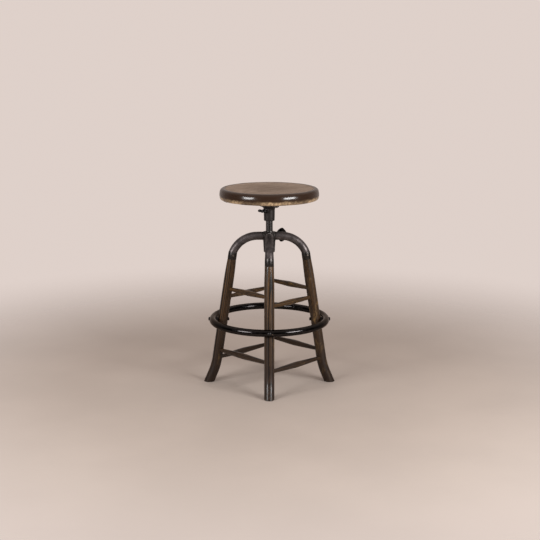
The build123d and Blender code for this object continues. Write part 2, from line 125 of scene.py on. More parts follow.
class NodeBench:
    """Places and links the nodes of one node tree."""

    def __init__(self, tree: bpy.types.NodeTree) -> None:
        """Takes the node tree of a material, a world or a group."""
        self.tree = tree

    @classmethod
    def cleared(cls, owner: bpy.types.ID) -> "NodeBench":
        """Empties the node tree of a material or a world.

        Args:
            owner: The material or the world.

        Returns:
            A bench for its tree.
        """
        owner.use_nodes = True
        owner.node_tree.nodes.clear()
        return cls(owner.node_tree)

    def feed(self, node: bpy.types.Node, inputs: dict) -> bpy.types.Node:
        """Sets or links a node's inputs.

        Args:
            node: The node.
            inputs: Values or output sockets for its inputs, by name or index.

        Returns:
            The same node.
        """
        for key, value in inputs.items():
            if isinstance(value, Socket):
                self.tree.links.new(value, node.inputs[key])
            else:
                node.inputs[key].default_value = value
        return node

    def add(self, kind: str, inputs: dict | None = None, **settings: object) -> bpy.types.Node:
        """Adds one node.

        Args:
            kind: The node's Blender type.
            inputs: Values or output sockets for its inputs, by name or index.
            **settings: Properties of the node itself, such as a group's tree.

        Returns:
            The new node.
        """
        node = self.tree.nodes.new(kind)
        for name, value in settings.items():
            setattr(node, name, value)
        return self.feed(node, inputs or {})

    def effect(self, group: bpy.types.NodeTree, inputs: dict) -> bpy.types.NodeOutputs:
        """Adds a shared effect and gives its outputs."""
        return self.add("ShaderNodeGroup", inputs, node_tree=group).outputs

    def maths(self, operation: str, first: Value, second: Value) -> Socket:
        """Combines two values by an operation of the Math node."""
        return self.add("ShaderNodeMath", {0: first, 1: second}, operation=operation).outputs[0]

    def plus(self, first: Value, second: Value) -> Socket:
        """The sum of two values."""
        return self.maths("ADD", first, second)

    def times(self, first: Value, second: Value) -> Socket:
        """The product of two values."""
        return self.maths("MULTIPLY", first, second)

    def blend(self, share: Value, first: Socket | Colour, second: Socket | Colour) -> Socket:
        """A mix of two colours, with a share of the second."""
        inputs = {"Factor": share, 6: self._rgba(first), 7: self._rgba(second)}
        return self.add("ShaderNodeMix", inputs, data_type="RGBA").outputs[2]

    def ramp(self, value: Value, low: float, high: float, start: float = 0.0, end: float = 1.0) -> Socket:
        """A smooth step, from start where the value is low to end where it is high."""
        inputs = {"Value": value, "From Min": low, "From Max": high, "To Min": start, "To Max": end}
        return self.add("ShaderNodeMapRange", inputs, interpolation_type="SMOOTHSTEP").outputs["Result"]

    def noise(self, point: Socket, scale: Value, detail: float = 3.0, rough: float = 0.5) -> Socket:
        """A noise around 0.5, with so many cells to the metre and so many finer layers."""
        inputs = {"Vector": point, "Scale": scale, "Detail": detail, "Roughness": rough}
        return self.add("ShaderNodeTexNoise", inputs).outputs[0]

    def place(self) -> Socket:
        """The surface point in the stool's own frame."""
        return self.add("ShaderNodeTexCoord").outputs["Object"]

    def height(self, point: Socket) -> Socket:
        """The height of a point."""
        return self.add("ShaderNodeSeparateXYZ", {0: point}).outputs["Z"]

    def stretch(self, point: Socket, scale: Point) -> Socket:
        """Multiplies each part of a point by its own number."""
        return self.add("ShaderNodeVectorMath", {0: point, 1: scale}, operation="MULTIPLY").outputs[0]

    def shift(self, point: Socket, step: Point) -> Socket:
        """Moves a point by a step."""
        return self.add("ShaderNodeVectorMath", {0: point, 1: step}, operation="ADD").outputs[0]

    def from_axis(self, point: Socket) -> Socket:
        """The distance of a point from the Z axis."""
        flat = self.stretch(point, (1.0, 1.0, 0.0))
        return self.add("ShaderNodeVectorMath", {0: flat}, operation="LENGTH").outputs["Value"]

    @staticmethod
    def _rgba(colour: Socket | Colour) -> object:
        """A colour with an alpha of 1, or the socket that was given."""
        return (*colour, 1.0) if isinstance(colour, tuple) else colour


class SharedEffects:
    """The node groups that more than one finish uses, each built once."""

    LATE_WOOD = (0.35, 0.93)
    RING_STRETCH = (1.0, 1.0, 0.12)
    FIBRE_STRETCH = (1.0, 1.0, 0.045)
    PORES_PER_FIBRE = 2.1
    SAND_SHARE = 0.35

    def __init__(self) -> None:
        """Builds every group."""
        self.growth_rings = self._growth_rings()
        self.long_fibres = self._long_fibres()
        self.worn_patches = self._worn_patches()
        self.cast_skin = self._cast_skin()

    @staticmethod
    def _start(
        name: str, inputs: dict[str, float | None], outputs: list[str]
    ) -> tuple[NodeBench, bpy.types.NodeOutputs, bpy.types.Node]:
        """Makes an empty group with its sockets.

        Args:
            name: The group's name.
            inputs: The default value of each input, with None for a vector.
            outputs: The names of the values that the group puts out.

        Returns:
            A bench for the group, the values it is given, and its output node.
        """
        tree = bpy.data.node_groups.new(name, "ShaderNodeTree")
        for label, default in inputs.items():
            kind = "NodeSocketVector" if default is None else "NodeSocketFloat"
            socket = tree.interface.new_socket(label, in_out="INPUT", socket_type=kind)
            if default is not None:
                socket.default_value = default
        for label in outputs:
            tree.interface.new_socket(label, in_out="OUTPUT", socket_type="NodeSocketFloat")
        bench = NodeBench(tree)
        return bench, bench.add("NodeGroupInput").outputs, bench.add("NodeGroupOutput")

    def _growth_rings(self) -> bpy.types.NodeTree:
        """The year rings of a trunk that runs along Z, high in the dark late wood.

        Returns:
            The group.
        """
        sizes = {"Vector": None, "Spacing": 0.004, "Wander": 0.01}
        bench, given, out = self._start("growth_rings", sizes, ["Late Wood"])
        slow = bench.stretch(given["Vector"], self.RING_STRETCH)
        drift = bench.times(bench.maths("SUBTRACT", bench.noise(slow, 14.0), 0.5), given["Wander"])
        radius = bench.plus(bench.from_axis(given["Vector"]), drift)
        years = bench.maths("DIVIDE", radius, given["Spacing"])
        phase = bench.maths("FRACT", years, 0.0)
        start, end = self.LATE_WOOD
        late = bench.times(bench.ramp(phase, start, end), bench.ramp(phase, end, 1.0, 1.0, 0.0))
        bench.feed(out, {"Late Wood": late})
        return bench.tree

    def _long_fibres(self) -> bpy.types.NodeTree:
        """Thin streaks and open pores along Z.

        Returns:
            The group.
        """
        bench, given, out = self._start("long_fibres", {"Vector": None, "Width": 0.001}, ["Streaks", "Pores"])
        drawn = bench.stretch(given["Vector"], self.FIBRE_STRETCH)
        fine = bench.maths("DIVIDE", 1.0, given["Width"])
        pores = bench.noise(drawn, bench.times(fine, self.PORES_PER_FIBRE), 1.0)
        streaks = bench.noise(drawn, fine, 3.0, 0.6)
        bench.feed(out, {"Streaks": streaks, "Pores": bench.ramp(pores, 0.60, 0.72)})
        return bench.tree

    def _worn_patches(self) -> bpy.types.NodeTree:
        """Ragged patches where a finish has worn off.

        Returns:
            The group.
        """
        sizes = {"Vector": None, "Size": 0.02, "Cover": 0.3, "Softness": 0.06}
        bench, given, out = self._start("worn_patches", sizes, ["Mask"])
        cloud = bench.noise(given["Vector"], bench.maths("DIVIDE", 1.0, given["Size"]), 7.0, 0.68)
        level = bench.maths("SUBTRACT", 0.76, bench.times(given["Cover"], 0.5))
        share = bench.maths("DIVIDE", bench.maths("SUBTRACT", cloud, level), given["Softness"])
        bench.feed(out, {"Mask": bench.ramp(share, 0.0, 1.0)})
        return bench.tree

    def _cast_skin(self) -> bpy.types.NodeTree:
        """The pebbled skin that sand leaves on a casting, and its slow change of tone.

        Returns:
            The group.
        """
        bench, given, out = self._start("cast_skin", {"Vector": None, "Grain": 0.0016}, ["Height", "Mottle"])
        point = given["Vector"]
        sand = bench.noise(point, bench.maths("DIVIDE", 1.0, given["Grain"]))
        lumps = bench.times(bench.noise(point, 110.0, 2.0), 1.0 - self.SAND_SHARE)
        height = bench.plus(bench.times(sand, self.SAND_SHARE), lumps)
        bench.feed(out, {"Height": height, "Mottle": bench.noise(point, 45.0, 5.0, 0.62)})
        return bench.tree


@dataclass(frozen=True)
class Finish:
    """What every finish has: a name, the shared effects, and a material with one shader."""

    name: str
    effects: SharedEffects

    def _open(self, suffix: str = "") -> tuple[bpy.types.Material, NodeBench, bpy.types.Node]:
        """Starts an empty material.

        Args:
            suffix: What is added to the finish's name for one piece.

        Returns:
            The material, a bench for its nodes and its Principled shader.
        """
        material = bpy.data.materials.new(self.name + suffix)
        bench = NodeBench.cleared(material)
        shader = bench.add("ShaderNodeBsdfPrincipled")
        bench.add("ShaderNodeOutputMaterial", {"Surface": shader.outputs[0]})
        return material, bench, shader

    @staticmethod
    def _point(bench: NodeBench, centre: Point = (0.0, 0.0, 0.0), turn: Point = (0.0, 0.0, 0.0)) -> Socket:
        """The surface point, seen from a centre and turned so that the piece's length is Z.

        Args:
            bench: The material's bench.
            centre: The point that becomes the pattern's origin.
            turn: The angles that bring Z onto the piece's length, in degrees.

        Returns:
            The socket with the point.
        """
        angles = tuple(math.radians(angle) for angle in turn)
        inputs = {"Vector": bench.place(), "Location": centre, "Rotation": angles}
        return bench.add("ShaderNodeMapping", inputs, vector_type="TEXTURE").outputs[0]

    @staticmethod
    def _relief(bench: NodeBench, height: Socket, strength: float, depth: float) -> Socket:
        """The normal of a surface raised by a height, of which 1 is a depth in metres."""
        inputs = {"Height": height, "Strength": strength, "Distance": depth}
        return bench.add("ShaderNodeBump", inputs).outputs[0]


@dataclass(frozen=True)
class StainedWood(Finish):
    """Stained hardwood under an old varnish, worn pale in places."""

    light: Colour
    dark: Colour
    worn: Colour
    ring_spacing: float = 0.0042
    wander: float = 0.010
    fibre_width: float = 0.0011
    ring_share: float = 0.42
    broad_share: float = 0.75
    streak_share: float = 0.45
    figure_start: float = 0.40
    figure_end: float = 1.00
    wear_size: float = 0.026
    wear_cover: float = 0.3
    wear_softness: float = 0.09
    roughness: float = 0.46
    shine: float = 0.22
    varnish: float = 0.45
    varnish_roughness: float = 0.16
    patchiness: float = 0.75
    relief: float = 0.50
    dent_depth: float = 0.0006

    def material(
        self, suffix: str, centre: Point, turn: Point, pith: Point, stain_and_shade: StainAndShade
    ) -> bpy.types.Material:
        """Makes the finish for one piece.

        Args:
            suffix: The piece's own ending of the material's name.
            centre: A point on the piece's long axis.
            turn: The angles that bring Z onto the grain, in degrees.
            pith: Where the heart of the tree lies beside the piece, in the piece's own axes.
            stain_and_shade: A call that lays the piece's own staining, wear, darkening and painted shade over
                a colour, and says how much of the varnish stays.

        Returns:
            The material.
        """
        material, bench, shader = self._open(suffix)
        point = bench.shift(self._point(bench, centre, turn), pith)
        sizes = {"Vector": point, "Spacing": self.ring_spacing, "Wander": self.wander}
        rings = bench.effect(self.effects.growth_rings, sizes)
        fibres = bench.effect(self.effects.long_fibres, {"Vector": point, "Width": self.fibre_width})
        streaks, pores = fibres["Streaks"], fibres["Pores"]
        broad = bench.noise(bench.stretch(point, (1.0, 1.0, 0.10)), 95.0, 4.0, 0.6)
        figure = bench.times(rings["Late Wood"], self.ring_share)
        figure = bench.plus(figure, bench.times(broad, self.broad_share))
        figure = bench.plus(figure, bench.times(streaks, self.streak_share))
        colour = bench.blend(bench.ramp(figure, self.figure_start, self.figure_end), self.light, self.dark)
        wear = self._wear(bench, point, streaks)
        colour, kept = stain_and_shade(bench, bench.blend(bench.times(wear, 0.8), colour, self.worn))
        colour = bench.blend(bench.times(pores, 0.7), colour, shade(self.dark, 0.3))
        dents = bench.times(bench.noise(point, 60.0, 2.0), 1.4)
        height = bench.maths("SUBTRACT", dents, bench.times(pores, 0.25))
        normal = self._relief(bench, height, self.relief, self.dent_depth)
        bench.feed(shader, {"Base Color": colour, "Normal": normal})
        self._gloss(bench, shader, (broad, wear, kept))
        return material

    def _wear(self, bench: NodeBench, point: Socket, streaks: Socket) -> Socket:
        """The patches that are worn through to the pale wood.

        Args:
            bench: The material's bench.
            point: The surface point with Z along the grain.
            streaks: The wood's streaks, of which the low ones wear first.

        Returns:
            The socket with the mask.
        """
        drawn = bench.stretch(point, (1.0, 1.0, 0.40))
        softness = self.wear_softness
        sizes = {"Vector": drawn, "Size": self.wear_size, "Cover": self.wear_cover, "Softness": softness}
        patches = bench.effect(self.effects.worn_patches, sizes)["Mask"]
        return bench.times(patches, bench.ramp(streaks, 0.42, 0.62, 1.0, 0.0))

    def _gloss(self, bench: NodeBench, shader: bpy.types.Node, state: tuple[Socket, Socket, Value]) -> None:
        """Sets the wood's own roughness and the varnish that is left on it.

        Args:
            bench: The material's bench.
            shader: The shader.
            state: The wood's slow change of tone, the wear, and the share of varnish that stays.
        """
        broad, wear, kept = state
        rough = bench.plus(bench.times(broad, 0.25), self.roughness - 0.12)
        rough = bench.plus(rough, bench.times(wear, 0.2))
        left = bench.ramp(broad, 0.36, 0.56, 1.0 - self.patchiness, 1.0)
        coat = bench.times(left, bench.ramp(wear, 0.0, 1.0, self.varnish, 0.15 * self.varnish))
        bench.feed(
            shader,
            {
                "Roughness": rough,
                "Specular IOR Level": self.shine,
                "Coat Weight": bench.times(coat, kept),
                "Coat Roughness": self.varnish_roughness,
            },
        )


@dataclass(frozen=True)
class CastIron(Finish):
    """Waxed grey iron, as it came out of the sand."""

    pale: Colour = (0.140, 0.118, 0.116)
    deep: Colour = (0.040, 0.032, 0.031)
    # Painted shade: the next colour darkens the iron round the post, where the seat shades socket and sleeve.
    grime_and_shade: Colour = (0.018, 0.014, 0.012)
    post_shade_radius: float = 0.023
    darkening_share: float = 0.80
    skin_depth: float = 0.0008

    def material(self) -> bpy.types.Material:
        """Makes the finish, with painted shade darkening the iron round the post, where the seat shades
        socket and sleeve.

        Returns:
            The material.
        """
        material, bench, shader = self._open()
        point = self._point(bench)
        skin = bench.effect(self.effects.cast_skin, {"Vector": point})
        tone = bench.ramp(skin["Mottle"], 0.30, 0.72)
        # Painted shade: iron within this radius of the post is darkened as if in the seat's shadow.
        end = 1.35 * self.post_shade_radius
        post_shade = bench.ramp(bench.from_axis(point), self.post_shade_radius, end, self.darkening_share, 0.0)
        inputs = {
            "Base Color": bench.blend(post_shade, bench.blend(tone, self.deep, self.pale), self.grime_and_shade),
            "Metallic": 0.7,
            "Roughness": bench.ramp(tone, 0.0, 1.0, 0.60, 0.40),
            "Normal": self._relief(bench, skin["Height"], 0.5, self.skin_depth),
        }
        bench.feed(shader, inputs)
        return material


@dataclass(frozen=True)
class TurnedMetal(Finish):
    """Polished metal with fine marks from turning and from sliding."""

    colour: Colour
    roughness: float
    mark_depth: float = 0.0001

    def material(self) -> bpy.types.Material:
        """Makes the finish.

        Returns:
            The material.
        """
        material, bench, shader = self._open()
        point = self._point(bench)
        slides = bench.noise(bench.stretch(point, (1.0, 1.0, 0.02)), 700.0, 2.0)
        marks = bench.noise(bench.stretch(point, (1.0, 1.0, 26.0)), 120.0, 3.0, 0.6)
        tone = bench.ramp(bench.noise(point, 30.0, 4.0, 0.6), 0.35, 0.7)
        inputs = {
            "Base Color": bench.blend(tone, shade(self.colour, 0.55), self.colour),
            "Metallic": 1.0,
            "Roughness": bench.plus(bench.times(slides, 0.14), self.roughness - 0.07),
            "Normal": self._relief(bench, marks, 0.15, self.mark_depth),
        }
        bench.feed(shader, inputs)
        return material


@dataclass(frozen=True)
class BlackPaint(Finish):
    """Black paint or blacking on iron, rubbed through to grey metal in spots."""

    colour: Colour = (0.026, 0.024, 0.024)
    edge: Colour = (0.64, 0.60, 0.57)
    rubbed: Colour = (0.19, 0.155, 0.125)
    cover: float = 0.16
    patch_size: float = 0.014
    softness: float = 0.05
    roughness: float = 0.13
    paint_depth: float = 0.0002

    def material(self) -> bpy.types.Material:
        """Makes the finish.

        Returns:
            The material.
        """
        material, bench, shader = self._open()
        point = self._point(bench)
        sizes = {"Vector": point, "Size": self.patch_size, "Cover": self.cover, "Softness": self.softness}
        wear = bench.effect(self.effects.worn_patches, sizes)["Mask"]
        grime_and_shade = bench.ramp(bench.noise(point, 70.0, 5.0, 0.65), 0.42, 0.75)
        painted = bench.blend(grime_and_shade, self.colour, shade(self.colour, 1.5))
        rough = bench.plus(bench.times(grime_and_shade, 0.18), self.roughness)
        height = bench.maths("SUBTRACT", bench.times(bench.noise(point, 120.0), 0.6), wear)
        inputs = {
            "Base Color": bench.blend(wear, painted, self.rubbed),
            "Metallic": 1.0,
            "Specular Tint": (*self.edge, 1.0),
            "Roughness": bench.plus(rough, bench.times(wear, 0.2)),
            "Normal": self._relief(bench, height, 0.25, self.paint_depth),
        }
        bench.feed(shader, inputs)
        return material


class Finishes:
    """All finishes of the stool, with the materials that need no piece of their own."""

    def __init__(self) -> None:
        """Builds the shared materials."""
        effects = SharedEffects()
        self.leg_wood = StainedWood(
            "leg_oak",
            effects,
            light=(0.104, 0.052, 0.020),
            dark=(0.004, 0.002, 0.001),
            worn=(0.32, 0.185, 0.065),
        )
        self.rung_wood = StainedWood(
            "rung_oak",
            effects,
            light=(0.120, 0.062, 0.022),
            dark=(0.007, 0.003, 0.0012),
            worn=(0.40, 0.235, 0.065),
            wear_cover=0.40,
        )
        # The seat's light and dark colours are paler than its wood: they also paint in the sheen of its
        # varnished top.
        self.seat_wood = StainedWood(
            "seat_oak",
            effects,
            light=(0.540, 0.425, 0.340),
            dark=(0.200, 0.140, 0.102),
            worn=(0.55, 0.42, 0.32),
            ring_spacing=0.0075,
            wander=0.024,
            figure_end=1.10,
            roughness=0.74,
            shine=0.10,
            varnish=0.75,
            varnish_roughness=0.18,
            patchiness=0.25,
            relief=0.22,
        )
        ferrule_black = (0.052, 0.047, 0.045)
        ferrules = BlackPaint("rubbed_black_ferrules", effects, ferrule_black, cover=0.34, roughness=0.36)
        shared = {
            Slot.CAST_IRON: CastIron("waxed_cast_iron", effects),
            Slot.POST_STEEL: TurnedMetal("polished_post_steel", effects, (0.35, 0.325, 0.31), 0.235),
            Slot.STEEL: TurnedMetal("plain_steel", effects, (0.30, 0.29, 0.28), 0.34),
            Slot.BRONZE: TurnedMetal("bronze", effects, (0.45, 0.31, 0.15), 0.35),
            Slot.BLACK_ENAMEL: BlackPaint("worn_black_enamel", effects),
            Slot.BLACK_IRON: BlackPaint("blackened_iron", effects, cover=0.1, roughness=0.36),
        }
        self.by_slot = {slot: finish.material() for slot, finish in shared.items()}
        self.ferrule_material = ferrules.material()
        self.slots = {part["node"]: part["material_slot"] for part in frame["record"]["subparts"]}

    def dress_node(self, node: str, material: bpy.types.Material | None = None) -> None:
        """Gives a carried-over node its material.

        Args:
            node: The node's name.
            material: Its own material, or nothing for that of its slot.
        """
        mesh = frame["nodes"][node].data
        mesh.materials.clear()
        mesh.materials.append(material or self.by_slot[Slot(self.slots[node])])


class Shaper:
    """Models one mesh piece with the modelling operators."""

    COPY_MERGE = 0.000002
    FINAL_MERGE = 0.000001
    SMOOTH_ANGLE = 38.0

    def __init__(self, piece: bpy.types.Object) -> None:
        """Takes the piece to be shaped."""
        self.piece = piece

    @staticmethod
    def clear() -> None:
        """Leaves edit mode and deselects everything."""
        if bpy.context.mode == "EDIT_MESH":
            bpy.ops.object.mode_set(mode="OBJECT")
        bpy.ops.object.select_all(action="DESELECT")

    @classmethod
    def lathe(cls, rings: list[Ring], vertices: int = 96) -> "Shaper":
        """Draws a level round face through rings round the Z axis.

        Args:
            rings: The radius and height of each ring.
            vertices: How many corners each ring has.

        Returns:
            The shaper of the new piece.
        """
        cls.clear()
        radius, height = rings[0]
        place = (0.0, 0.0, height)
        bpy.ops.mesh.primitive_circle_add(vertices=vertices, radius=radius, fill_type="NGON", location=place)
        bpy.ops.object.transform_apply(location=True, rotation=True, scale=True)
        shaper = cls(bpy.context.active_object)
        bpy.ops.object.mode_set(mode="EDIT")
        bpy.ops.mesh.select_mode(type="FACE")
        bpy.ops.mesh.select_all(action="SELECT")
        for (radius, height), (wide, high) in zip(rings, rings[1:]):
            bpy.ops.mesh.extrude_region_move(TRANSFORM_OT_translate={"value": (0.0, 0.0, high - height)})
            share = wide / radius
            bpy.ops.transform.resize(value=(share, share, 1.0), center_override=(0.0, 0.0, high))
        bpy.ops.mesh.select_all(action="SELECT")
        bpy.ops.mesh.normals_make_consistent(inside=False)
        bpy.ops.object.mode_set(mode="OBJECT")
        return shaper

    @classmethod
    def rod(cls, radius: float, start: Vector, end: Vector, vertices: int = 96) -> "Shaper":
        """Lathes a round rod and lays it between two points.

        Args:
            radius: The rod's radius.
            start: The middle of one end.
            end: The middle of the other end.
            vertices: How many sides it has.

        Returns:
            The shaper of the new piece.
        """
        along = end - start
        shaper = cls.lathe([(radius, 0.0), (radius, along.length)], vertices)
        shaper.settle(start, along)
        return shaper

    @classmethod
    def copy_of(cls, node: str) -> "Shaper":
        """Starts from a merged copy of a node's mesh.

        Args:
            node: The node's name.

        Returns:
            The shaper of the new piece.
        """
        cls.clear()
        piece = bpy.data.objects.new(node + "_copy", frame["nodes"][node].data.copy())
        piece.data.materials.clear()
        bpy.context.scene.collection.objects.link(piece)
        shaper = cls(piece)
        shaper.activate()
        bpy.ops.mesh.customdata_custom_splitnormals_clear()
        bpy.ops.object.mode_set(mode="EDIT")
        bpy.ops.mesh.select_all(action="SELECT")
        bpy.ops.mesh.remove_doubles(threshold=cls.COPY_MERGE)
        bpy.ops.object.mode_set(mode="OBJECT")
        return shaper

    def activate(self) -> None:
        """Makes the piece the only selected one."""
        self.clear()
        bpy.context.view_layer.objects.active = self.piece
        self.piece.select_set(True)

    def settle(self, place: Vector, direction: Vector) -> None:
        """Turns the piece's Z axis to a direction, moves it, and keeps both in the mesh.

        Args:
            place: Where its origin goes.
            direction: Where its Z axis points.
        """
        self.activate()
        self.piece.rotation_euler = direction.to_track_quat("Z", "Y").to_euler()
        self.piece.location = place
        bpy.ops.object.transform_apply(location=True, rotation=True, scale=True)

    def pick(self, kind: Pick, test: Callable[[Vector, Vector], bool]) -> None:
        """Opens edit mode with the faces or corners selected that pass a test.

        Args:
            kind: What is selected.
            test: A call that takes the place of a face or corner, and its normal.
        """
        self.activate()
        bpy.ops.object.mode_set(mode="EDIT")
        bpy.ops.mesh.select_mode(type=kind.value)
        bpy.ops.mesh.select_all(action="DESELECT")
        bpy.ops.object.mode_set(mode="OBJECT")
        mesh = self.piece.data
        for part in mesh.polygons if kind is Pick.FACES else mesh.vertices:
            place = part.center if kind is Pick.FACES else part.co
            part.select = test(place, part.normal)
        bpy.ops.object.mode_set(mode="EDIT")

    def apply(self, kind: str, **settings: object) -> None:
        """Adds a modifier and applies it.

        Args:
            kind: The modifier's type.
            **settings: Its properties.
        """
        self.activate()
        modifier = self.piece.modifiers.new(kind.lower(), kind)
        for name, value in settings.items():
            setattr(modifier, name, value)
        bpy.ops.object.modifier_apply(modifier=modifier.name)

    def waver(self, depth: float, size: float) -> None:
        """Lets the surface waver as handwork and castings do.

        Args:
            depth: How far it moves in and out altogether.
            size: How long the waves are.
        """
        clouds = bpy.data.textures.new("waver", "CLOUDS")
        clouds.noise_scale = size
        self.apply("DISPLACE", texture=clouds, strength=depth, mid_level=0.5, texture_coords="GLOBAL")

    def join(self, other: "Shaper") -> None:
        """Takes another piece's mesh into this one.

        Args:
            other: The other piece, which is used up.
        """
        self.activate()
        other.piece.select_set(True)
        bpy.ops.object.join()

    def combine(self, other: "Shaper", operation: str) -> None:
        """Uses up another piece to add its solid or to cut it away."""
        self.apply("BOOLEAN", operation=operation, object=other.piece, solver="EXACT")
        bpy.data.objects.remove(other.piece)

    def soften(self, voxel: float, passes: int) -> None:
        """Rounds all edges as in a casting, by faces of a voxel's size, evened out in passes."""
        self.apply("REMESH", mode="VOXEL", voxel_size=voxel, use_smooth_shade=True)
        self.apply("SMOOTH", factor=0.5, iterations=passes)

    def deliver(self, name: str, node: str, body: Body, slot: Slot, material: bpy.types.Material) -> None:
        """Closes the mesh and hands the piece over in place of its node.

        Args:
            name: The piece's name.
            node: The node that it stands for.
            body: The body it rides on.
            slot: The record's slot of its finish; it is not used.
            material: Its material.
        """
        self.activate()
        bpy.ops.object.mode_set(mode="EDIT")
        bpy.ops.mesh.select_all(action="SELECT")
        bpy.ops.mesh.remove_doubles(threshold=self.FINAL_MERGE)
        bpy.ops.mesh.normals_make_consistent(inside=False)
        bpy.ops.object.mode_set(mode="OBJECT")
        bpy.ops.object.shade_smooth_by_angle(angle=math.radians(self.SMOOTH_ANGLE))
        self.piece.name = name
        self.piece.data.materials.clear()
        self.piece.data.materials.append(material)
        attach(self.piece, body.value)
        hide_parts(node)
        log.info("modelled %s with %d faces", name, len(self.piece.data.polygons))


@dataclass(frozen=True)
class Casting:
    """A sand casting that is reamed for the post and drilled from one side for a hand screw."""

    node: str
    foot: float
    top: float
    hole_azimuth: float
    hole_height: float
    hole_radius: float
    hole_end: float
    voxel: float
    passes: int
    waver: float
    open_top: bool = False
    bore_radius: float = 0.01255
    bore_skin: float = 0.0012
    hole_start: float = 0.0090
    hole_vertices: int = 48
    overrun: float = 0.0100
    wave: float = 0.0160

    def model(self) -> Shaper:
        """Fills the bore of a copy of the node's mesh, softens it, and reams both holes again.

        Returns:
            The shaper of the casting.
        """
        piece = Shaper.copy_of(self.node)
        low, high = self.foot * UPWARDS, self.top * UPWARDS
        spare = self.overrun * UPWARDS
        piece.join(Shaper.rod(self.bore_radius + self.bore_skin, low, high))
        piece.soften(self.voxel, self.passes)
        piece.waver(self.waver, self.wave)
        through = high + spare if self.open_top else high
        piece.combine(Shaper.rod(self.bore_radius, low - spare, through), "DIFFERENCE")
        axis, out = self.hole_height * UPWARDS, outwards(self.hole_azimuth)
        ends = (axis + self.hole_start * out, axis + self.hole_end * out)
        piece.combine(Shaper.rod(self.hole_radius, *ends, self.hole_vertices), "DIFFERENCE")
        return piece


